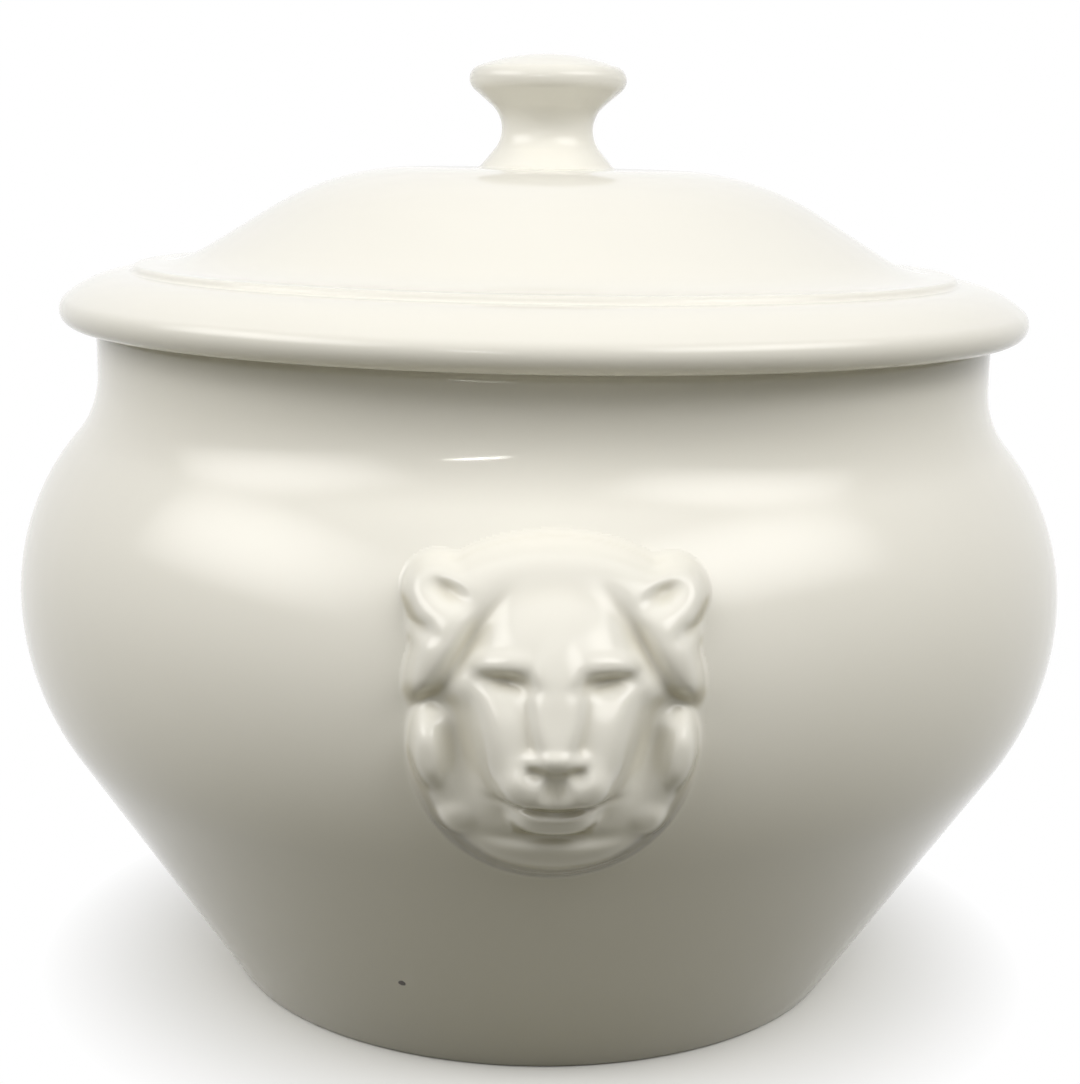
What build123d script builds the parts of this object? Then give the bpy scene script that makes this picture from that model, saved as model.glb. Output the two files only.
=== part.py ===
"""Lidded lion-head soup crock in glazed porcelain.

A belly bowl on a turned foot ring carries two lion heads in relief as its lugs, front and back. A domed lid
with a waisted knob rests its flange on the rim, and a ring under the lid keeps it centred in the mouth.

Millimetres, +Z up. The origin is the middle of the foot, on the table. The front head looks towards -Y.
"""

import os
from math import acos, asin, atan2, cos, degrees, exp, hypot, log, radians, sin, sqrt, tan

from build123d import *

# Bowl: radii and heights of the outer face, then the porcelain's thickness
FOOT_RADIUS = 39.0
BELLY_RADIUS = 65.0
BELLY_HEIGHT = 49.5
NECK_RADIUS = 55.2
RIM_HEIGHT = 82.0
LOWER_BELLY_ARC = 33.0
UPPER_BELLY_ARC = 29.0
NECK_ARC = 12.0
BOWL_WALL = 4.0
FLOOR_THICKNESS = 5.0
FLOOR_CORNER = 14.0
RIM_ROUND = 1.3

# Foot ring: the unglazed ring that the bowl stands on, and the hollow inside it
FOOT_RING_WIDTH = 4.0
FOOT_HOLLOW_DEPTH = 2.5
FOOT_ROUND = 0.9

# Lid: heights are above the rim that it rests on
LID_RADIUS = 59.5
LID_RISE = 19.2
LID_WALL = 3.8
CROWN_FLAT_RADIUS = 16.0
CROWN_ARC = 34.0
FLANK_ANGLE = 31.6
COVE_ARC = 13.0
LEDGE_HEIGHT = 7.2
STEP_RADIUS = 50.6
STEP_DROP = 0.8
FLANGE_NOSE = 1.95
FLANGE_NOSE_SWEEP = 145.0
FLANGE_BULGE = 0.7

# Locating ring under the lid, and its play in the mouth of the bowl
MOUTH_CLEARANCE = 1.2
RING_WIDTH = 3.5
RING_DEPTH = 5.5
RING_ROUND = 1.2

# Knob: it stands on the flat of the lid's crown, and flares up and down from its waist
KNOB_RADIUS = 9.7
KNOB_WAIST_RADIUS = 5.65
KNOB_WAIST_HEIGHT = 4.75
KNOB_THROAT_ARC = 3.9
KNOB_FLARE_ANGLE = 50.0
KNOB_FOOT_ANGLE = 40.0
KNOB_EDGE_ROUND = 1.7
KNOB_TOP_SLOPE = 20.0

# Lion heads: size of the relief on the belly, how far it stands off the wall, how softly its forms melt into
# each other, and how deep their sheet dips below the wall around them before it is cut back
HEAD_WIDTH = 30.0
HEAD_HEIGHT = 36.0
HEAD_RISE = 9.7
HEAD_CENTRE_HEIGHT = 49.5
HEAD_SOFTNESS = 0.9
HEAD_SINK = 3.0
HEAD_MARGIN = 1.2
HEAD_ROOT = 8.0
HEAD_COLUMNS = 36
HEAD_ROWS = 43

# Worked out from the sizes above
MOUTH_RADIUS = NECK_RADIUS - BOWL_WALL
LOWER_CENTRE = BELLY_RADIUS - LOWER_BELLY_ARC
UPPER_CENTRE = BELLY_RADIUS - UPPER_BELLY_ARC
WALL_LEAN = asin(LOWER_BELLY_ARC / hypot(LOWER_CENTRE - FOOT_RADIUS, BELLY_HEIGHT)) + atan2(
    LOWER_CENTRE - FOOT_RADIUS, BELLY_HEIGHT
)
SHOULDER_SWEEP = acos((NECK_RADIUS + NECK_ARC - UPPER_CENTRE) / (UPPER_BELLY_ARC + NECK_ARC))
NECK_BASE = BELLY_HEIGHT + (UPPER_BELLY_ARC + NECK_ARC) * sin(SHOULDER_SWEEP)

os.makedirs("parts", exist_ok=True)


def draw_wall(inset, low):
    """Draw the bowl's wall from height low up to the rim, inset from its outer face; return its low end."""
    belly = (BELLY_RADIUS - inset, BELLY_HEIGHT)
    lower = JernArc(belly, (0, -1), LOWER_BELLY_ARC - inset, -degrees(WALL_LEAN))
    bend = lower @ 1
    low_end = (bend.X - (bend.Y - low) * tan(WALL_LEAN), low)
    Line(bend, low_end)
    upper = JernArc(belly, (0, 1), UPPER_BELLY_ARC - inset, degrees(SHOULDER_SWEEP))
    neck = JernArc(upper @ 1, upper % 1, NECK_ARC + inset, -degrees(SHOULDER_SWEEP))
    Line(neck @ 1, (NECK_RADIUS - inset, RIM_HEIGHT))
    return low_end


def wall_radius(height):
    """Radius of the bowl's outer face at a height."""
    above = height - BELLY_HEIGHT
    if above > UPPER_BELLY_ARC * sin(SHOULDER_SWEEP):
        rise = min(height - NECK_BASE, 0)
        return NECK_RADIUS + NECK_ARC - sqrt(NECK_ARC**2 - rise**2)
    if above > 0:
        return UPPER_CENTRE + sqrt(UPPER_BELLY_ARC**2 - above**2)
    if above > -LOWER_BELLY_ARC * sin(WALL_LEAN):
        return LOWER_CENTRE + sqrt(LOWER_BELLY_ARC**2 - above**2)
    return FOOT_RADIUS + height * tan(WALL_LEAN)


# Bowl: one turned wall from the foot ring to the rim
with BuildPart() as bowl:
    with BuildSketch(Plane.XZ) as bowl_section:
        floor = FOOT_HOLLOW_DEPTH + FLOOR_THICKNESS
        hollow = FOOT_RADIUS - FOOT_RING_WIDTH
        with BuildLine():
            foot_edge = draw_wall(0, 0)
            floor_edge = draw_wall(BOWL_WALL, floor)
            Line((NECK_RADIUS, RIM_HEIGHT), (MOUTH_RADIUS, RIM_HEIGHT))
            Polyline(floor_edge, (0, floor), (0, FOOT_HOLLOW_DEPTH), (hollow, FOOT_HOLLOW_DEPTH))
            Polyline((hollow, FOOT_HOLLOW_DEPTH), (hollow, 0), foot_edge)
        make_face()
        corners = bowl_section.vertices()
        fillet(corners.sort_by_distance((*floor_edge, 0))[0], FLOOR_CORNER)
        fillet(corners.group_by(Axis.Y)[-1], RIM_ROUND)
        fillet(corners.group_by(Axis.Y)[0], FOOT_ROUND)
    revolve(axis=Axis.Z)

bowl.part.label = "bowl"
export_step(bowl.part, "parts/bowl.step")

# Lid: flange, step, cove and domed crown outside, and the locating ring inside
with BuildPart() as lid:
    with BuildSketch(Plane.XZ) as lid_section:
        top = RIM_HEIGHT + LID_RISE
        flank = radians(FLANK_ANGLE)
        ring_outer = MOUTH_RADIUS - MOUTH_CLEARANCE
        ring_inner = ring_outer - RING_WIDTH
        ring_low = RIM_HEIGHT - RING_DEPTH
        nose_centre = (LID_RADIUS - FLANGE_NOSE, RIM_HEIGHT + FLANGE_NOSE)
        with BuildLine():
            # Outer face, from the crown to the flange
            crown = JernArc((CROWN_FLAT_RADIUS, top), (1, 0), CROWN_ARC, -FLANK_ANGLE)
            ledge = RIM_HEIGHT + LEDGE_HEIGHT
            cove_top = ledge + COVE_ARC * (1 - cos(flank))
            cove_start = ((crown @ 1).X + ((crown @ 1).Y - cove_top) / tan(flank), cove_top)
            cove = JernArc(cove_start, (cos(flank), -sin(flank)), COVE_ARC, FLANK_ANGLE)
            Line((0, top), crown @ 0)
            Line(crown @ 1, cove_start)
            step = (STEP_RADIUS, ledge)
            flange_start = (STEP_RADIUS + STEP_DROP / 2, ledge - STEP_DROP)
            Polyline(cove @ 1, step, flange_start)
            nose = CenterArc(nose_centre, FLANGE_NOSE, -90, FLANGE_NOSE_SWEEP)
            SagittaArc(flange_start, nose @ 1, FLANGE_BULGE)
            # Underside: seat, locating ring and the hollow of the dome
            Polyline(nose @ 0, (ring_outer, RIM_HEIGHT), (ring_outer, ring_low), (ring_inner, ring_low))
            inner_start = (CROWN_FLAT_RADIUS, top - LID_WALL)
            inner_crown = JernArc(inner_start, (1, 0), CROWN_ARC - LID_WALL, -FLANK_ANGLE)
            inner_end = inner_crown @ 1
            ring_top = inner_end.Y - (ring_inner - inner_end.X) * tan(flank)
            Polyline(inner_end, (ring_inner, ring_top), (ring_inner, ring_low))
            Polyline(inner_start, (0, top - LID_WALL), (0, top))
        make_face()
        corners = lid_section.vertices()
        fillet(corners.group_by(Axis.Y)[0], RING_ROUND)
        fillet(corners.sort_by_distance((ring_inner, ring_top, 0))[0], RING_WIDTH)
        fillet(corners.sort_by_distance((*step, 0))[0], STEP_DROP / 2)
    revolve(axis=Axis.Z)

lid.part.label = "lid"
export_step(lid.part, "parts/lid.step")

# Knob: a waisted turning with a rounded edge and a low domed top, solid, stuck on the flat of the crown
with BuildPart() as lid_knob:
    with BuildSketch(Plane.XZ):
        seat = RIM_HEIGHT + LID_RISE
        flare = radians(KNOB_FLARE_ANGLE)
        flare_end = KNOB_RADIUS - KNOB_EDGE_ROUND * (1 - cos(flare))
        with BuildLine():
            waist = (KNOB_WAIST_RADIUS, seat + KNOB_WAIST_HEIGHT)
            # Upwards: throat, flare, rounded edge and top
            throat = JernArc(waist, (0, 1), KNOB_THROAT_ARC, -KNOB_FLARE_ANGLE)
            edge_start = (flare_end, (throat @ 1).Y + (flare_end - (throat @ 1).X) / tan(flare))
            Line(throat @ 1, edge_start)
            edge = JernArc(edge_start, throat % 1, KNOB_EDGE_ROUND, KNOB_FLARE_ANGLE + 90 - KNOB_TOP_SLOPE)
            dome = JernArc(edge @ 1, edge % 1, (edge @ 1).X / sin(radians(KNOB_TOP_SLOPE)), KNOB_TOP_SLOPE)
            # Downwards: throat and foot
            foot = JernArc(waist, (0, -1), KNOB_THROAT_ARC, KNOB_FOOT_ANGLE)
            foot_radius = (foot @ 1).X + ((foot @ 1).Y - seat) * tan(radians(KNOB_FOOT_ANGLE))
            Polyline(foot @ 1, (foot_radius, seat), (0, seat), dome @ 1)
        make_face()
    revolve(axis=Axis.Z)

lid_knob.part.label = "lid_knob"
export_step(lid_knob.part, "parts/lid_knob.step")

# Lion head: the relief as it was drawn, on a head of this size, which is then stretched to the sizes above.
# Each form is its place across and up from the middle of the head, half width, half height, lean in degrees,
# height above the wall, rise of that height for each millimetre down, fall from middle to edge, squareness
# of that fall, and whether it has a twin.
DRAWN_WIDTH = 30.0
DRAWN_HEIGHT = 36.0
DRAWN_RISE = 8.65
FORMS = {
    "mane": (0, -2.8, 15.0, 16.4, 0, 3.5, 0, 6.0, 4, False),
    "crown": (0, 8.4, 15.2, 9.4, 0, 3.5, 0, 7.0, 6, False),
    "ear": (11.4, 11.7, 3.7, 3.6, 20, 2.7, 0, 3.0, 2.4, True),
    "face": (0, 2.2, 8.5, 12.2, 0, 5.9, 0.24, 4.6, 3, False),
    "forehead": (0, 7.2, 7.0, 6.2, 0, 5.4, 0.22, 3.0, 1.8, False),
    "brow": (4.8, 6.6, 3.4, 1.4, -6, 5.0, 0, 2.2, 1.4, True),
    "bridge": (0, 3.4, 2.9, 6.8, 0, 6.7, 0.34, 3.0, 3, False),
    "nose": (0, -2.0, 3.2, 1.5, 0, 7.8, 0, 3.0, 1.8, False),
    "muzzle": (0, -4.0, 5.8, 3.9, 0, 7.0, 0.05, 3.8, 2.4, False),
    "lip": (2.9, -5.0, 2.8, 2.6, 0, 7.2, 0, 3.4, 1.8, True),
    "chin": (0, -9.1, 4.8, 2.5, 0, 5.7, 0, 4.0, 2.2, False),
    "beard": (0, -12.8, 8.4, 3.8, 0, 3.0, 0, 3.0, 2.0, False),
    "upper lock": (11.4, 6.4, 2.4, 5.6, 26, 3.5, 0, 3.0, 1.8, True),
    "lower lock": (12.2, -3.4, 2.0, 4.0, -6, 3.4, 0, 3.0, 1.8, True),
    "small lock": (9.4, -10.2, 2.2, 2.4, 30, 2.5, 0, 2.6, 1.5, True),
}
# Each hollow is its place, half width, half height, lean, depth, and whether it has a twin
HOLLOWS = {
    "eye": (4.7, 4.7, 2.4, 0.85, 2, 1.1, True),
    "eye socket": (4.3, 4.0, 2.1, 1.9, 0, 0.8, True),
    "ear hollow": (10.4, 12.2, 1.7, 1.0, 18, 1.5, True),
    "mane groove": (8.6, 7.2, 1.1, 4.6, 35, 1.4, True),
    "lock gap": (11.8, 1.6, 1.9, 1.2, 20, 1.0, True),
    "cheek gap": (9.3, -2.2, 1.6, 4.8, -10, 2.0, True),
    "nostril": (2.0, -3.2, 1.0, 0.8, 0, 0.6, True),
    "lip groove": (0, -5.1, 1.2, 2.0, 0, 1.0, False),
    "mouth": (2.5, -7.5, 2.4, 0.55, 4, 1.3, True),
    "chin shadow": (0, -11.7, 5.2, 0.9, 0, 1.1, False),
    "under ear": (13.2, 8.8, 1.5, 0.8, 10, 0.6, True),
}


def reach(across, up, place, spread, lean):
    """Squared distance from the middle of a form, counted in its own half width and half height."""
    side, rise = across - place[0], up - place[1]
    turn = radians(lean)
    along = (side * cos(turn) + rise * sin(turn)) / spread[0]
    over = (rise * cos(turn) - side * sin(turn)) / spread[1]
    return along**2 + over**2


def relief(across, up):
    """Height of the drawn lion head above the wall: soft forms melted together, less the hollows."""
    melt = exp(-HEAD_SINK / HEAD_SOFTNESS)
    for x, y, wide, tall, lean, peak, slope, fall, square, twin in FORMS.values():
        for side in (1, -1) if twin else (1,):
            away = reach(across, up, (side * x, y), (wide, tall), side * lean)
            melt += exp((peak - slope * (up - y) - fall * away**square) / HEAD_SOFTNESS)
    height = HEAD_SOFTNESS * log(melt)
    for x, y, wide, tall, lean, depth, twin in HOLLOWS.values():
        for side in (1, -1) if twin else (1,):
            height -= depth * exp(-reach(across, up, (side * x, y), (wide, tall), side * lean))
    return height


def relief_section(up):
    """Front of the head at one drawn height, as points from left to right."""
    stretch = HEAD_WIDTH / DRAWN_WIDTH
    radius = wall_radius(HEAD_CENTRE_HEIGHT + up * HEAD_HEIGHT / DRAWN_HEIGHT)
    points = []
    for step in range(HEAD_COLUMNS + 1):
        across = (step / HEAD_COLUMNS - 0.5) * HEAD_MARGIN * DRAWN_WIDTH
        wall = sqrt(radius**2 - (across * stretch) ** 2)
        points.append(Vector(across * stretch, -wall - relief(across, up) * HEAD_RISE / DRAWN_RISE))
    return points


# Body of the bowl without its inside, which gives the heads the wall that they are stuck to
with BuildPart() as bowl_outside:
    with BuildSketch(Plane.XZ):
        with BuildLine():
            outside_foot = draw_wall(0, 0)
            Polyline((NECK_RADIUS, RIM_HEIGHT), (0, RIM_HEIGHT), (0, 0), outside_foot)
        make_face()
    revolve(axis=Axis.Z)

# Front head: level sections of the relief, lofted upwards and cut back to the wall
with BuildPart() as lion_head_front:
    even = [step / HEAD_COLUMNS for step in range(HEAD_COLUMNS + 1)]
    for row in range(HEAD_ROWS + 1):
        up = (row / HEAD_ROWS - 0.5) * HEAD_MARGIN * DRAWN_HEIGHT
        with BuildSketch(Plane.XY.offset(HEAD_CENTRE_HEIGHT + up * HEAD_HEIGHT / DRAWN_HEIGHT)):
            face_points = relief_section(up)
            left, right = face_points[0], face_points[-1]
            root = Vector(0, HEAD_ROOT)
            with BuildLine():
                add(Edge.make_spline(face_points, parameters=even))
                Polyline(right, right + root, left + root, left)
            make_face()
    loft()
    add(bowl_outside.part, mode=Mode.SUBTRACT)

lion_head_front.part.label = "lion_head_front"
export_step(lion_head_front.part, "parts/lion_head_front.step")

# Back head: the same relief half a turn round the bowl
with BuildPart() as lion_head_back:
    add(lion_head_front.part, rotation=(0, 0, 180))

lion_head_back.part.label = "lion_head_back"
export_step(lion_head_back.part, "parts/lion_head_back.step")
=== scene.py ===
from math import acos, asin, atan2, ceil, cos, hypot, pi, radians, sin, tan

import bpy
import numpy as np
from mathutils import Matrix, Vector


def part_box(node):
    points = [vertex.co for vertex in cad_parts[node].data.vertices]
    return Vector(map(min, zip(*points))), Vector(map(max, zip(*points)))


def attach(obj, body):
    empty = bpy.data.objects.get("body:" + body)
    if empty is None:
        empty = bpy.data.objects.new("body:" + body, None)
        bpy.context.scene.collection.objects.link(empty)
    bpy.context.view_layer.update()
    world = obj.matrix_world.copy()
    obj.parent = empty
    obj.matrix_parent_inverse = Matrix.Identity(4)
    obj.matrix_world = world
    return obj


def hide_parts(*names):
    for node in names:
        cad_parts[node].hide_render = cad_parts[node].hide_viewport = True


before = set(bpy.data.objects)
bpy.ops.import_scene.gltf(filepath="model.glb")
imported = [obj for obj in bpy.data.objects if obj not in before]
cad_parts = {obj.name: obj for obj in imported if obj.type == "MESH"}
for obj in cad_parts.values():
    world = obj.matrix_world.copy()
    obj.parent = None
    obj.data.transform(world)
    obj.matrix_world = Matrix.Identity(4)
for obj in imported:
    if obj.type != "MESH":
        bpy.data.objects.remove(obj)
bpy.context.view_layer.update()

# Bowl: porcelain, jiggered in one piece with its foot ring and then turned smooth. It is dipped in a clear,
# faintly warm glaze, and the foot ring is wiped bare so that it doesn't stick to the kiln shelf.
bowl_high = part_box("bowl")[1]
belly_radius = bowl_high.x
rim_height = bowl_high.z
belly_height = 0.0495
foot_radius = 0.039
neck_radius = 0.0552
lower_belly_arc = 0.033
upper_belly_arc = 0.029
neck_arc = 0.012
bowl_wall = 0.004
floor_height = 0.0075
floor_corner = 0.014
rim_round = 0.0013
foot_ring_width = 0.004
foot_hollow_depth = 0.0025
foot_round = 0.0009
lower_centre = belly_radius - lower_belly_arc
upper_centre = belly_radius - upper_belly_arc
wall_lean = asin(lower_belly_arc / hypot(lower_centre - foot_radius, belly_height)) + atan2(
    lower_centre - foot_radius, belly_height
)
shoulder_sweep = acos((neck_radius + neck_arc - upper_centre) / (upper_belly_arc + neck_arc))
neck_base = belly_height + (upper_belly_arc + neck_arc) * sin(shoulder_sweep)

clay_white = (0.80, 0.785, 0.72, 1)
glaze_white = (0.84, 0.825, 0.765, 1)
cloud_scale = 30
wave_scale = 75
peel_scale = 900
wave_depth = 0.00003
peel_share = 0.04
least_roughness = 0.06
roughness_drift = 0.06
glaze_ior = 1.5
bare_clay = (0.74, 0.69, 0.60, 1)
bare_roughness = 0.75
bare_foot_height = 0.00025
bare_foot_blur = 0.0001
iron_brown = (0.035, 0.022, 0.014, 1)
iron_roughness = 0.35
iron_speck_place = (-0.01559, -0.04473, 0.01277)
iron_speck_radius = 0.00048
iron_speck_blur = 0.00008
ragged_scale = 2500
least_ragged = 0.7
ragged_share = 0.6


def arc(centre, radius, start, sweep, pitch=0.0007):
    """Points along an arc of a turned outline, about one pitch apart; angles are in radians."""
    steps = max(6, ceil(abs(sweep) * radius / pitch))
    turns = [start + sweep * step / steps for step in range(steps + 1)]
    return [(centre[0] + radius * cos(turn), centre[1] + radius * sin(turn)) for turn in turns]


def run(start, end, pitch=0.002):
    """Points along a straight stretch of a turned outline, both ends left out."""
    steps = ceil(hypot(end[0] - start[0], end[1] - start[1]) / pitch)
    shares = [step / steps for step in range(1, steps)]
    return [(start[0] + (end[0] - start[0]) * s, start[1] + (end[1] - start[1]) * s) for s in shares]


def rounded(before, corner, after, radius):
    """Points of the arc that rounds one corner of a turned outline."""
    corner, before, after = Vector(corner), Vector(before), Vector(after)
    into, away = (before - corner).normalized(), (after - corner).normalized()
    half = into.angle(away) / 2
    centre = corner + (into + away).normalized() * radius / sin(half)
    first = corner + into * radius / tan(half) - centre
    turn = (pi - 2 * half) * (1 if into.x * away.y - into.y * away.x < 0 else -1)
    return arc(centre, radius, atan2(first.y, first.x), turn, pitch=radius / 8)


def joined(*stretches):
    """One outline from points and stretches of points, with straight runs put in between them."""
    outline = []
    for stretch in stretches:
        points = stretch if isinstance(stretch, list) else [stretch]
        if outline:
            outline += run(outline[-1], points[0])
            if hypot(outline[-1][0] - points[0][0], outline[-1][1] - points[0][1]) < 1e-7:
                points = points[1:]
        outline += points
    return outline


def turned(name, outline, steps=192):
    """A piece turned on the wheel: an outline of (radius, height) points, spun about the upright axis."""
    bpy.ops.object.select_all(action="DESELECT")
    bpy.ops.mesh.primitive_plane_add(size=0.001, location=(outline[0][0], 0, outline[0][1]))
    piece = bpy.context.object
    piece.name = name
    bpy.ops.object.transform_apply(location=True, rotation=False, scale=False)
    bpy.ops.object.mode_set(mode="EDIT")
    bpy.ops.mesh.merge(type="CENTER")
    for (radius, height), (next_radius, next_height) in zip(outline, outline[1:]):
        step = (next_radius - radius, 0, next_height - height)
        bpy.ops.mesh.extrude_region_move(TRANSFORM_OT_translate={"value": step})
    bpy.ops.mesh.select_all(action="SELECT")
    bpy.ops.mesh.spin(steps=steps, angle=2 * pi, center=(0, 0, 0), axis=(0, 0, 1))
    bpy.ops.mesh.select_all(action="SELECT")
    bpy.ops.mesh.remove_doubles(threshold=1e-6)
    bpy.ops.mesh.normals_make_consistent(inside=False)
    bpy.ops.object.mode_set(mode="OBJECT")
    bpy.ops.object.shade_smooth()
    return piece


def wall_curve(inset):
    """The bowl's wall from the lower bend of its belly up to the neck, inset from its outer face."""
    return joined(
        arc((lower_centre, belly_height), lower_belly_arc - inset, -wall_lean, wall_lean),
        arc((upper_centre, belly_height), upper_belly_arc - inset, 0, shoulder_sweep),
        arc((neck_radius + neck_arc, neck_base), neck_arc + inset, pi + shoulder_sweep, -shoulder_sweep),
    )


class Shade:
    """A value in a material's node tree; sums and products of such values add their Math nodes."""

    def __init__(self, tree, socket=None):
        self.tree = tree
        self.socket = socket

    def node(self, kind, settings={}, inputs={}, output=0):
        """Add a node: its settings first, then the values or links of its sockets; gives one output."""
        made = self.tree.nodes.new(kind)
        for name, value in settings.items():
            setattr(made, name, value)
        for name, value in inputs.items():
            if isinstance(value, Shade):
                self.tree.links.new(value.socket, made.inputs[name])
            else:
                made.inputs[name].default_value = value
        return Shade(self.tree, made.outputs[output] if made.outputs else None)

    def math(self, operation, first, second, clamp=False):
        settings = {"operation": operation, "use_clamp": clamp}
        return self.node("ShaderNodeMath", settings, {0: first, 1: second})

    def __add__(self, other):
        return self.math("ADD", self, other)

    def __sub__(self, other):
        return self.math("SUBTRACT", self, other)

    def __rsub__(self, other):
        return self.math("SUBTRACT", other, self)

    def __mul__(self, other):
        return self.math("MULTIPLY", self, other)

    def __truediv__(self, other):
        return self.math("DIVIDE", self, other)

    __radd__ = __add__
    __rmul__ = __mul__

    def held(self):
        """The value kept between 0 and 1."""
        return self.math("ADD", self, 0, clamp=True)

    def between(self, first, second):
        """A colour between two others, as far along as this value says."""
        settings = {"data_type": "RGBA"}
        return self.node("ShaderNodeMix", settings, {0: self, 6: first, 7: second}, output=2)


def porcelain(name, marks=()):
    """Clear glaze on white clay: faint clouds in the white, high gloss, and the slow waves of dipped glaze.

    A mark is a function from the place on the piece to a mask, then the colour and roughness it has there."""
    material = bpy.data.materials.new(name)
    material.use_nodes = True
    tree = material.node_tree
    tree.nodes.clear()
    shade = Shade(tree)
    place = shade.node("ShaderNodeTexCoord", output="Object")
    clouds = shade.node("ShaderNodeTexNoise", {}, {"Vector": place, "Scale": cloud_scale, "Detail": 3})
    waves = shade.node("ShaderNodeTexNoise", {}, {"Vector": place, "Scale": wave_scale, "Detail": 1})
    peel = shade.node("ShaderNodeTexNoise", {}, {"Vector": place, "Scale": peel_scale, "Detail": 1})
    colour = clouds.between(clay_white, glaze_white)
    roughness = least_roughness + roughness_drift * waves
    for mask, mark_colour, mark_roughness in marks:
        strength = mask(place)
        colour = strength.between(colour, mark_colour)
        roughness = roughness + strength * (mark_roughness - roughness)
    swell = waves + peel_share * peel
    bump = shade.node("ShaderNodeBump", {}, {"Strength": 1, "Distance": wave_depth, "Height": swell})
    surface = shade.node(
        "ShaderNodeBsdfPrincipled",
        {},
        {"Base Color": colour, "Roughness": roughness, "Normal": bump, "IOR": glaze_ior},
    )
    shade.node("ShaderNodeOutputMaterial", {}, {"Surface": surface})
    return material


def bare_foot(place):
    """Mask of the flat of the foot ring, which carries no glaze."""
    height = place.node("ShaderNodeSeparateXYZ", {}, {0: place}, output="Z")
    return ((bare_foot_height - height) / bare_foot_blur).held()


def iron_speck(place):
    """Mask of one speck of iron that burnt through the glaze low on the bowl."""
    settings = {"operation": "DISTANCE"}
    away = place.node("ShaderNodeVectorMath", settings, {0: place, 1: iron_speck_place}, output="Value")
    ragged = place.node("ShaderNodeTexNoise", {}, {"Vector": place, "Scale": ragged_scale, "Detail": 2})
    radius = iron_speck_radius * (least_ragged + ragged_share * ragged)
    return ((radius - away) / iron_speck_blur).held()


outer_wall, inner_wall = wall_curve(0), wall_curve(bowl_wall)
inner_slope = inner_wall[0][0] - (inner_wall[0][1] - floor_height) * tan(wall_lean)
hollow_radius = foot_radius - foot_ring_width
mouth_radius = neck_radius - bowl_wall
bowl = turned(
    "porcelain_bowl",
    joined(
        (0, foot_hollow_depth),
        rounded((0, foot_hollow_depth), (hollow_radius, foot_hollow_depth), (hollow_radius, 0), foot_round),
        rounded((hollow_radius, foot_hollow_depth), (hollow_radius, 0), (foot_radius, 0), foot_round),
        rounded((hollow_radius, 0), (foot_radius, 0), outer_wall[0], foot_round),
        outer_wall,
        rounded((neck_radius, 0), (neck_radius, rim_height), (mouth_radius, rim_height), rim_round),
        rounded((neck_radius, rim_height), (mouth_radius, rim_height), (mouth_radius, 0), rim_round),
        inner_wall[::-1],
        rounded(inner_wall[0], (inner_slope, floor_height), (0, floor_height), floor_corner),
        (0, floor_height),
    ),
)
bowl_marks = [(bare_foot, bare_clay, bare_roughness), (iron_speck, iron_brown, iron_roughness)]
bowl.data.materials.append(porcelain("bowl_porcelain", bowl_marks))
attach(bowl, "crock")
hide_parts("bowl")

# Lion heads: porcelain sprigs pressed in a plaster mould and stuck to the belly with slip, one in front and
# one behind, where they serve as lugs. The glaze softens them and melts their edge into the wall. The hollows
# are tinted darker, partly for thicker glaze and partly as painted shade, and a painted shadow darkens the
# underside of the lower edge.
head_centre_height = 0.0495
head_rise = 0.0097
drawn_width = 30.0
drawn_height = 36.0
drawn_rise = 8.65
drawn_melt = 0.9
drawn_sink = 3.0
glaze_fillet = 0.5
glaze_skin = 0.00002
head_margin = 1.35
head_pitch = 0.2
head_cut = -2.4
head_root = 0.0012
sharp_edge = radians(50)
# Darker tint for the relief's hollows, partly thicker glaze and partly painted shade; it also paints shade
# under the lower edge
pool_and_shade_tint = (0.66, 0.63, 0.53, 1)
pool_roughness = 0.07
pool_and_shade_strength = 0.55
pool_rounds = 24
pool_depth = 0.35
pool_start = 0.2
pool_fade = 1.5
# A painted shadow: a dark tint under the head's lower edge, where it overhangs the wall
edge_shadow_tint = (0.40, 0.38, 0.32, 1)
edge_strength = 1.8
edge_steepness = 1.6
edge_height = 0.8
edge_reach = 2.1
edge_fade = 1.4
low_edge_top = -6
low_edge_fade = 6

# Each form, in drawn millimetres: its place across and up from the middle of the head, half width, half
# height, lean in degrees, height above the wall, rise of that height for each millimetre down, fall from
# middle to edge, squareness of that fall, and whether it has a twin
forms = {
    "mane": (0, -2.8, 15.0, 16.4, 0, 3.5, 0, 6.0, 4, False),
    "crown": (0, 8.4, 15.2, 9.4, 0, 3.5, 0, 7.0, 6, False),
    "ear": (11.4, 11.7, 3.7, 3.6, 20, 2.7, 0, 3.0, 2.4, True),
    "face": (0, 2.2, 8.5, 12.2, 0, 5.9, 0.24, 4.6, 3, False),
    "forehead": (0, 7.2, 7.0, 6.2, 0, 5.4, 0.22, 3.0, 1.8, False),
    "brow": (4.8, 6.6, 3.4, 1.4, -6, 5.0, 0, 2.2, 1.4, True),
    "bridge": (0, 3.4, 2.9, 6.8, 0, 6.7, 0.34, 3.0, 3, False),
    "nose": (0, -2.0, 3.2, 1.5, 0, 7.8, 0, 3.0, 1.8, False),
    "muzzle": (0, -4.0, 5.8, 3.9, 0, 7.0, 0.05, 3.8, 2.4, False),
    "lip": (2.9, -5.0, 2.8, 2.6, 0, 7.2, 0, 3.4, 1.8, True),
    "chin": (0, -9.1, 4.8, 2.5, 0, 5.7, 0, 4.0, 2.2, False),
    "beard": (0, -12.8, 8.4, 3.8, 0, 3.0, 0, 3.0, 2.0, False),
    "upper lock": (11.4, 6.4, 2.4, 5.6, 26, 3.5, 0, 3.0, 1.8, True),
    "lower lock": (12.2, -3.4, 2.0, 4.0, -6, 3.4, 0, 3.0, 1.8, True),
    "small lock": (9.4, -10.2, 2.2, 2.4, 30, 2.5, 0, 2.6, 1.5, True),
}
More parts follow.
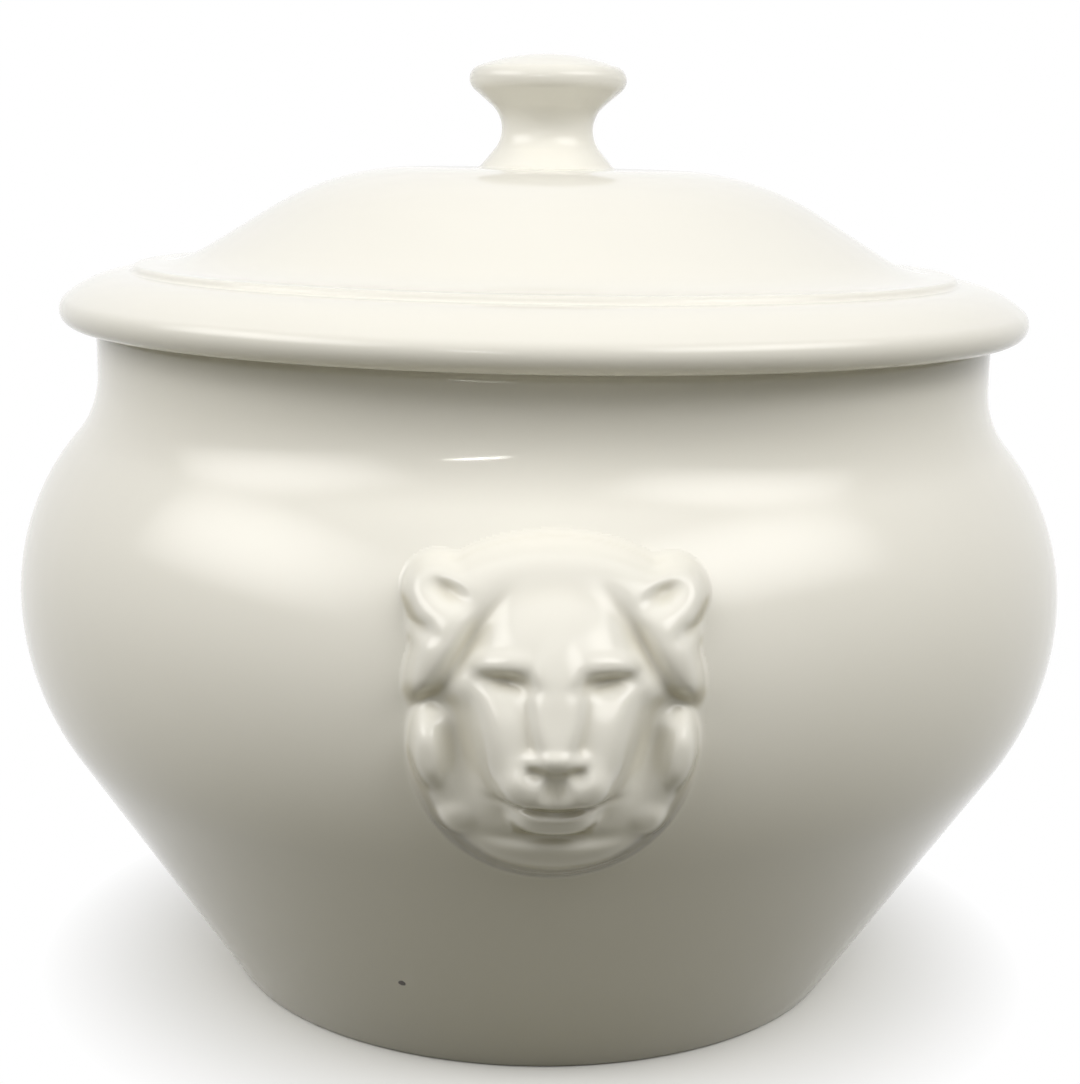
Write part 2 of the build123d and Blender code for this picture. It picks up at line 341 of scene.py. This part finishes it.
# Each hollow: its place, half width, half height, lean, depth, and whether it has a twin
hollows = {
    "eye": (4.7, 4.7, 2.4, 0.85, 2, 1.1, True),
    "eye socket": (4.3, 4.0, 2.1, 1.9, 0, 0.8, True),
    "ear hollow": (10.4, 12.2, 1.7, 1.0, 18, 1.5, True),
    "mane groove": (8.6, 7.2, 1.1, 4.6, 35, 1.4, True),
    "lock gap": (11.8, 1.6, 1.9, 1.2, 20, 1.0, True),
    "cheek gap": (9.3, -2.2, 1.6, 4.8, -10, 2.0, True),
    "nostril": (2.0, -3.2, 1.0, 0.8, 0, 0.6, True),
    "lip groove": (0, -5.1, 1.2, 2.0, 0, 1.0, False),
    "mouth": (2.5, -7.5, 2.4, 0.55, 4, 1.3, True),
    "chin shadow": (0, -11.7, 5.2, 0.9, 0, 1.1, False),
    "under ear": (13.2, 8.8, 1.5, 0.8, 10, 0.6, True),
}


def reach(across, up, place, spread, lean):
    """Squared distance from the middle of a form, counted in its own half width and half height."""
    side, rise = across - place[0], up - place[1]
    turn = radians(lean)
    along = (side * cos(turn) + rise * sin(turn)) / spread[0]
    over = (rise * cos(turn) - side * sin(turn)) / spread[1]
    return along**2 + over**2


def relief(across, up):
    """Height of the drawn head above the wall: soft forms melted together, less the hollows."""
    melt = np.exp(-drawn_sink / drawn_melt)
    for x, y, wide, tall, lean, peak, slope, fall, square, twin in forms.values():
        for side in (1, -1) if twin else (1,):
            away = reach(across, up, (side * x, y), (wide, tall), side * lean)
            melt = melt + np.exp((peak - slope * (up - y) - fall * away**square) / drawn_melt)
    height = drawn_melt * np.log(melt)
    for x, y, wide, tall, lean, depth, twin in hollows.values():
        for side in (1, -1) if twin else (1,):
            height = height - depth * np.exp(-reach(across, up, (side * x, y), (wide, tall), side * lean))
    return height


def wall_radius(height):
    """Radius of the bowl's outer face at each height."""
    above = height - belly_height
    neck = neck_radius + neck_arc - np.sqrt(neck_arc**2 - np.clip(height - neck_base, -neck_arc, 0) ** 2)
    upper = upper_centre + np.sqrt(upper_belly_arc**2 - np.clip(above, 0, upper_belly_arc) ** 2)
    lower = lower_centre + np.sqrt(lower_belly_arc**2 - np.clip(above, -lower_belly_arc, 0) ** 2)
    cone = foot_radius + height * tan(wall_lean)
    belly = np.where(above > 0, upper, np.where(above > -lower_belly_arc * sin(wall_lean), lower, cone))
    return np.where(above > upper_belly_arc * sin(shoulder_sweep), neck, belly)


def wall_depth(places):
    """How far in front of the axis the bowl's wall is, for each place across and up."""
    return np.sqrt(wall_radius(places[:, 2]) ** 2 - places[:, 0] ** 2)


def places_of(piece):
    """The piece's points as an array of rows."""
    places = np.empty(len(piece.data.vertices) * 3)
    piece.data.vertices.foreach_get("co", places)
    return places.reshape(-1, 3)


def put(piece, places):
    """Move the piece's points to these places."""
    piece.data.vertices.foreach_set("co", places.ravel())
    piece.data.update()


def pooled(heights, columns, rows):
    """How far each point of the relief lies below the mean of the points around it."""
    field = heights.reshape(rows, columns)
    mean = field
    for _ in range(pool_rounds):
        padded = np.pad(mean, 1, mode="edge")
        mean = (padded[2:, 1:-1] + padded[:-2, 1:-1] + padded[1:-1, 2:] + padded[1:-1, :-2]) / 4
    return np.clip((mean - field).ravel() / pool_depth, 0, 1)


# The front head is one sheet of points, moved out from the wall by the relief, trimmed and thickened
columns = ceil(drawn_width * head_margin / head_pitch)
rows = ceil(drawn_height * head_margin / head_pitch)
bpy.ops.object.select_all(action="DESELECT")
bpy.ops.mesh.primitive_grid_add(x_subdivisions=columns, y_subdivisions=rows, size=1)
front_head = bpy.context.object
front_head.name = "front_lion_head"
sheet = places_of(front_head)
across, up = sheet[:, 0] * drawn_width * head_margin, sheet[:, 1] * drawn_height * head_margin
heights = relief(across, up)
melted = glaze_fillet * np.logaddexp(0, heights / glaze_fillet)
places = np.stack([across / 1000, np.zeros(len(sheet)), head_centre_height + up / 1000], axis=1)
places[:, 1] = -wall_depth(places) - melted * head_rise / drawn_rise - glaze_skin
put(front_head, places)
# Painted shade: a darker tint in the hollows, partly for thicker glaze, and painted shade under the lower
# edge
inside = np.clip((heights - pool_start) / pool_fade, 0, 1)
overhang = np.gradient(heights.reshape(rows + 1, columns + 1), head_pitch, axis=0).ravel()
near_edge = np.clip((edge_reach - np.abs(heights - edge_height)) / edge_fade, 0, 1)
under_edge = edge_strength * np.clip(edge_steepness * overhang, 0, 1) * near_edge
low = np.clip((low_edge_top - up) / low_edge_fade, 0, 1)
pool_and_shade_layer = front_head.data.attributes.new("glaze_pool_and_shade", "FLOAT", "POINT")
hollow_pool_and_shade = inside * pooled(melted, columns + 1, rows + 1)
pool_and_shade_layer.data.foreach_set("value", np.maximum(hollow_pool_and_shade, under_edge))
# Painted shadow under the lower edge, kept to the low part of the head
edge_shadow_layer = front_head.data.attributes.new("painted_edge_shadow", "FLOAT", "POINT")
edge_shadow_layer.data.foreach_set("value", np.clip(under_edge, 0, 1) * low)

bpy.ops.object.mode_set(mode="EDIT")
bpy.ops.mesh.select_all(action="DESELECT")
bpy.ops.object.mode_set(mode="OBJECT")
front_head.data.vertices.foreach_set("select", heights < head_cut)
bpy.ops.object.mode_set(mode="EDIT")
bpy.ops.mesh.delete(type="VERT")
bpy.ops.mesh.select_all(action="SELECT")
bpy.ops.mesh.extrude_region_move(TRANSFORM_OT_translate={"value": (0, head_root, 0)})
bpy.ops.object.mode_set(mode="OBJECT")
places = places_of(front_head)
behind = np.zeros(len(places), bool)
front_head.data.vertices.foreach_get("select", behind)
places[behind, 1] = head_root - wall_depth(places)[behind]
put(front_head, places)
bpy.ops.object.mode_set(mode="EDIT")
bpy.ops.mesh.select_all(action="SELECT")
bpy.ops.mesh.normals_make_consistent(inside=False)
bpy.ops.object.mode_set(mode="OBJECT")
bpy.ops.object.shade_smooth_by_angle(angle=sharp_edge)


def pooled_glaze_and_shade(place):
    """Mask of the hollows of the relief, darker for thicker glaze and painted shade, and of the painted shade
    under its lower edge.
    """
    return pool_and_shade_strength * place.node("ShaderNodeAttribute", {"attribute_name": "glaze_pool_and_shade"}, output="Fac")


def edge_shadow_paint(place):
    """Mask of the painted shadow under the lower edge of the head, where it overhangs the wall."""
    return place.node("ShaderNodeAttribute", {"attribute_name": "painted_edge_shadow"}, output="Fac")


head_marks = [(pooled_glaze_and_shade, pool_and_shade_tint, pool_roughness), (edge_shadow_paint, edge_shadow_tint, pool_roughness)]
front_head.data.materials.append(porcelain("front_head_porcelain", head_marks))

bpy.ops.object.duplicate()
back_head = bpy.context.object
back_head.name = "back_lion_head"
bpy.ops.transform.rotate(value=pi, orient_axis="Z", center_override=(0, 0, 0))
bpy.ops.object.transform_apply(location=True, rotation=True, scale=True)
back_head.data.materials[0] = porcelain("back_head_porcelain", head_marks)

for head, node, slot in (
    (front_head, "lion_head_front", "front_head_glaze"),
    (back_head, "lion_head_back", "back_head_glaze"),
):
    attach(head, "crock")
    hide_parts(node)

# Lid: porcelain, cast with its flange, its step and the ring underneath that keeps it in the mouth of the
# bowl. It lies loose on the rim and is lifted off by its knob.
lid_low, lid_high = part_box("lid")
lid_radius = lid_high.x
lid_top = lid_high.z
lid_wall = 0.0038
crown_flat = 0.016
crown_arc = 0.034
flank_angle = radians(31.6)
cove_arc = 0.013
flange_height = 0.0072
ledge_height = rim_height + flange_height
step_radius = 0.0506
step_drop = 0.0008
step_round = 0.0007
step_root_round = 0.0006
flange_nose = 0.00195
flange_bulge = 0.0007
nose_turn = radians(145)
ring_clearance = 0.0012
ring_outer = mouth_radius - ring_clearance
ring_width = 0.0035
ring_round = 0.0012
ring_inner = ring_outer - ring_width
ring_low = lid_low.z


def bowed(start, end, rise):
    """Points of a shallow arc between two points, which rises to the left of the straight line."""
    start, end = Vector(start), Vector(end)
    half = (end - start).length / 2
    radius = (half**2 + rise**2) / (2 * rise)
    side = Vector((start.y - end.y, end.x - start.x)).normalized()
    centre = (start + end) / 2 - side * (radius - rise)
    first = start - centre
    return arc(centre, radius, atan2(first.y, first.x), -2 * asin(half / radius))


crown = arc((crown_flat, lid_top - crown_arc), crown_arc, pi / 2, -flank_angle)
cove_top = ledge_height + cove_arc * (1 - cos(flank_angle))
cove_start = crown[-1][0] + (crown[-1][1] - cove_top) / tan(flank_angle)
cove_centre = (cove_start + cove_arc * sin(flank_angle), ledge_height + cove_arc)
cove = arc(cove_centre, cove_arc, -pi / 2 - flank_angle, flank_angle)
nose_centre = (lid_radius - flange_nose, rim_height + flange_nose)
nose = arc(nose_centre, flange_nose, nose_turn - pi / 2, -nose_turn, pitch=0.0002)
flange_start = (step_radius + step_drop / 2, ledge_height - step_drop)
inner_crown = arc((crown_flat, lid_top - crown_arc), crown_arc - lid_wall, pi / 2, -flank_angle)
ring_top = inner_crown[-1][1] - (ring_inner - inner_crown[-1][0]) * tan(flank_angle)
flange = bowed(flange_start, nose[0], flange_bulge)
lid = turned(
    "porcelain_lid",
    joined(
        (0, lid_top),
        crown,
        cove,
        rounded(cove[-1], (step_radius, ledge_height), flange_start, step_round),
        rounded((step_radius, ledge_height), flange_start, flange[1], step_root_round),
        flange[1:],
        nose,
        (ring_outer, rim_height),
        rounded((ring_outer, rim_height), (ring_outer, ring_low), (ring_inner, ring_low), ring_round),
        rounded((ring_outer, ring_low), (ring_inner, ring_low), (ring_inner, ring_top), ring_round),
        rounded((ring_inner, ring_low), (ring_inner, ring_top), inner_crown[-1], ring_width),
        inner_crown[::-1],
        (0, lid_top - lid_wall),
    ),
)
lid.data.materials.append(porcelain("lid_porcelain"))
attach(lid, "cover")
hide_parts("lid")

# Knob: a waisted turning in the same porcelain, stuck on the crown of the lid with slip and glazed with it.
# A little slip fills the corner round its foot.
knob_radius = 0.0097
knob_waist = 0.00565
knob_waist_rise = 0.00475
knob_throat_arc = 0.0039
knob_flare = radians(50)
knob_foot_lean = radians(40)
knob_edge_round = 0.0017
knob_top_slope = radians(20)
knob_slip_round = 0.0012
throat_centre = (knob_waist + knob_throat_arc, lid_top + knob_waist_rise)
throat = arc(throat_centre, knob_throat_arc, pi + knob_foot_lean, -knob_foot_lean - knob_flare, pitch=0.0002)
knob_foot_radius = throat[0][0] + (throat[0][1] - lid_top) * tan(knob_foot_lean)
knob_foot = rounded((lid_radius, lid_top), (knob_foot_radius, lid_top), throat[0], knob_slip_round)
flare_end = knob_radius - knob_edge_round * (1 - cos(knob_flare))
flare_rise = (flare_end - throat[-1][0]) / tan(knob_flare) + knob_edge_round * sin(knob_flare)
edge_centre = (knob_radius - knob_edge_round, throat[-1][1] + flare_rise)
edge = arc(edge_centre, knob_edge_round, -knob_flare, knob_flare + pi / 2 - knob_top_slope, pitch=0.0001)
dome_radius = edge[-1][0] / sin(knob_top_slope)
dome_centre = (0, edge[-1][1] - dome_radius * cos(knob_top_slope))
dome = arc(dome_centre, dome_radius, pi / 2 - knob_top_slope, knob_top_slope, pitch=0.0003)
knob = turned("porcelain_knob", joined((0, lid_top), knob_foot, throat, edge, dome), steps=128)
knob.data.materials.append(porcelain("knob_porcelain"))
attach(knob, "cover")
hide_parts("lid_knob")

# Floor: a plain pale sweep that the crock stands on. It is white to the eye with the crock's soft shadow,
# fades into the white behind, and gives back little light from below, as a darker table does.
floor_radius = 3.0
floor_white = (0.82, 0.82, 0.80, 1)
floor_bounce = (0.17, 0.16, 0.11, 1)
pure_white = (1, 1, 1, 1)
fade_start = 0.038
fade_end = 0.064


def looked_at(shade):
    """Mask of what the eye meets, either straight on, in a reflection or through a clear piece."""
    rays = ("Is Camera Ray", "Is Glossy Ray", "Is Transmission Ray")
    seen, mirrored, through = [shade.node("ShaderNodeLightPath", output=ray) for ray in rays]
    return (seen + mirrored + through).held()


bpy.ops.object.select_all(action="DESELECT")
bpy.ops.mesh.primitive_circle_add(vertices=96, radius=floor_radius, fill_type="TRIFAN")
floor = bpy.context.object
floor.name = "pale_floor"
floor_material = bpy.data.materials.new("pale_floor")
floor_material.use_nodes = True
floor_material.node_tree.nodes.clear()
shade = Shade(floor_material.node_tree)
place = shade.node("ShaderNodeTexCoord", output="Object")
away = shade.node("ShaderNodeVectorMath", {"operation": "LENGTH"}, {0: place}, output="Value")
fade = ((away - fade_start) / (fade_end - fade_start)).held()
pale = shade.node("ShaderNodeBsdfDiffuse", {}, {"Color": floor_white})
white = shade.node("ShaderNodeEmission", {}, {"Color": pure_white, "Strength": 1})
faded = shade.node("ShaderNodeMixShader", {}, {0: fade, 1: pale, 2: white})
dim = shade.node("ShaderNodeBsdfDiffuse", {}, {"Color": floor_bounce})
surface = shade.node("ShaderNodeMixShader", {}, {0: looked_at(shade), 1: dim, 2: faded})
shade.node("ShaderNodeOutputMaterial", {}, {"Surface": surface})
floor.data.materials.append(floor_material)

# Light: a white surround that lights faintly, a panel to each side that shows in the glaze, a soft light near
# each panel that doesn't show, and a thin strip in front that gives the turned faces one glint and no light.
dome_white = (1, 0.99, 0.97, 1)
dome_least = 0.05
dome_rise = 0.15
lamp_white = (1, 0.985, 0.955)
lamp_peak = 2.25
world = bpy.data.worlds.new("white_surround")
bpy.context.scene.world = world
world.use_nodes = True
world.node_tree.nodes.clear()
shade = Shade(world.node_tree)
white = shade.node("ShaderNodeBackground", {}, {"Color": pure_white, "Strength": 1})
direction = shade.node("ShaderNodeTexCoord", output="Generated")
height = shade.node("ShaderNodeSeparateXYZ", {}, {0: direction}, output="Z")
dome_glow = dome_least + dome_rise * height.held()
dim = shade.node("ShaderNodeBackground", {}, {"Color": dome_white, "Strength": dome_glow})
surface = shade.node("ShaderNodeMixShader", {}, {0: looked_at(shade), 1: dim, 2: white})
shade.node("ShaderNodeOutputWorld", {}, {"Surface": surface})


def fading(share):
    """One in the middle of a panel, and nothing at its two ends."""
    return 4 * share * (1 - share)


def panel(name, swing, rise, distance, width, height, power, lean=0, lights=True, mirrored=True):
    """A soft light that faces the crock's belly from a swing off the front and a rise above the floor."""
    swing, rise = radians(swing), radians(rise)
    away = Vector((sin(swing) * cos(rise), -cos(swing) * cos(rise), sin(rise)))
    bpy.ops.object.light_add(type="AREA", location=Vector((0, 0, belly_height)) + away * distance)
    lamp = bpy.context.object
    lamp.name = name
    lamp.rotation_euler = away.to_track_quat("Z", "Y").to_euler()
    lamp.rotation_euler.rotate_axis("Z", radians(lean))
    lamp.data.shape = "RECTANGLE"
    lamp.data.size = width
    lamp.data.size_y = height
    lamp.data.energy = power
    lamp.data.color = lamp_white
    lamp.visible_diffuse = lights
    lamp.visible_glossy = mirrored
    lamp.data.use_nodes = True
    lamp.data.node_tree.nodes.clear()
    shade = Shade(lamp.data.node_tree)
    place = shade.node("ShaderNodeNewGeometry", output="Parametric")
    across = shade.node("ShaderNodeSeparateXYZ", {}, {0: place}, output="X")
    along = shade.node("ShaderNodeSeparateXYZ", {}, {0: place}, output="Y")
    glow = lamp_peak * fading(across) * fading(along)
    light = shade.node("ShaderNodeEmission", {}, {"Strength": glow})
    shade.node("ShaderNodeOutputLight", {}, {"Surface": light})
    return lamp


panel("left_panel", swing=-70, rise=33, distance=0.8, width=0.95, height=0.48, power=2.6)
panel("right_panel", swing=52, rise=40, distance=0.8, width=0.90, height=0.48, power=2.5)
panel("left_fill", swing=-50, rise=50, distance=0.9, width=0.9, height=0.4, power=2.5, mirrored=False)
panel("right_fill", swing=56, rise=50, distance=0.9, width=0.9, height=0.4, power=2.65, mirrored=False)
strip = panel(
    "front_strip",
    swing=-16.5,
    rise=18.5,
    distance=0.9,
    width=0.27,
    height=0.007,
    power=0.4,
    lean=-16,
    lights=False,
)
turned_pieces = bpy.data.collections.new("turned_pieces")
for piece in (bowl, lid, knob):
    turned_pieces.objects.link(piece)
strip.light_linking.receiver_collection = turned_pieces

# Camera: at the photograph's place, a little above the lid, close in front and rolled by a degree.
photo_height = 1084
focal_pixels = 1975
camera_distance = 0.250
camera_height = 0.104
camera_swing = radians(-1.5)
camera_dip = radians(11.35)
camera_roll = radians(1.02)
sensor_height = 36
bpy.ops.object.camera_add()
camera = bpy.context.object
camera.data.sensor_fit = "VERTICAL"
camera.data.sensor_height = sensor_height
camera.data.lens = sensor_height * focal_pixels / photo_height
camera.data.clip_start = 0.01
camera.matrix_world = (
    Matrix.Rotation(camera_swing, 4, "Z")
    @ Matrix.Translation((0, -camera_distance, camera_height))
    @ Matrix.Rotation(pi / 2 - camera_dip, 4, "X")
    @ Matrix.Rotation(camera_roll, 4, "Z")
)
bpy.context.scene.camera = camera
bpy.context.scene.view_settings.view_transform = "Standard"
